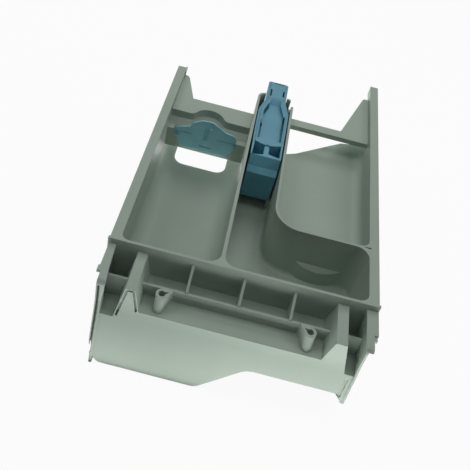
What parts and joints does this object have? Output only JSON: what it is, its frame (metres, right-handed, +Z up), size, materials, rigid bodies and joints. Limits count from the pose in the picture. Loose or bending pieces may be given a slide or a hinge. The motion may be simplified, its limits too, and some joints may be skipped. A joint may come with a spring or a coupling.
{
  "type": "detergent dispenser drawer",
  "caption": "Open washing machine dispenser drawer with main, softener and prewash compartments, a lift-off siphon cap and a sliding flap.",
  "frame": {"origin": "middle of the box round the part, on the surface that it rests on", "axes": "+Y from the front skirt to the rear arms, +X to the right seen from the front, +Z up"},
  "size_m": [0.182, 0.305, 0.079],
  "materials": {
    "grey_plastic": "satin moulded polypropylene, grey",
    "flap_plastic": "satin moulded polypropylene, blue",
    "cap_plastic": "satin moulded polypropylene, blue"
  },
  "bodies": {
    "tray": {"drawer_tray": "grey_plastic"},
    "flap": {"dosing_flap": "flap_plastic"},
    "cap": {"siphon_cap": "cap_plastic"}
  },
  "joints": [
    {"name": "flap_slide", "type": "slide", "parent": "tray", "child": "flap", "axis": [0, 0, -1], "range_m": [0, 0.011]},
    {"name": "siphon_cap_lift", "type": "slide", "parent": "tray", "child": "cap", "axis": [0, 0, 1], "range_m": [0, 0.05]}
  ]
}
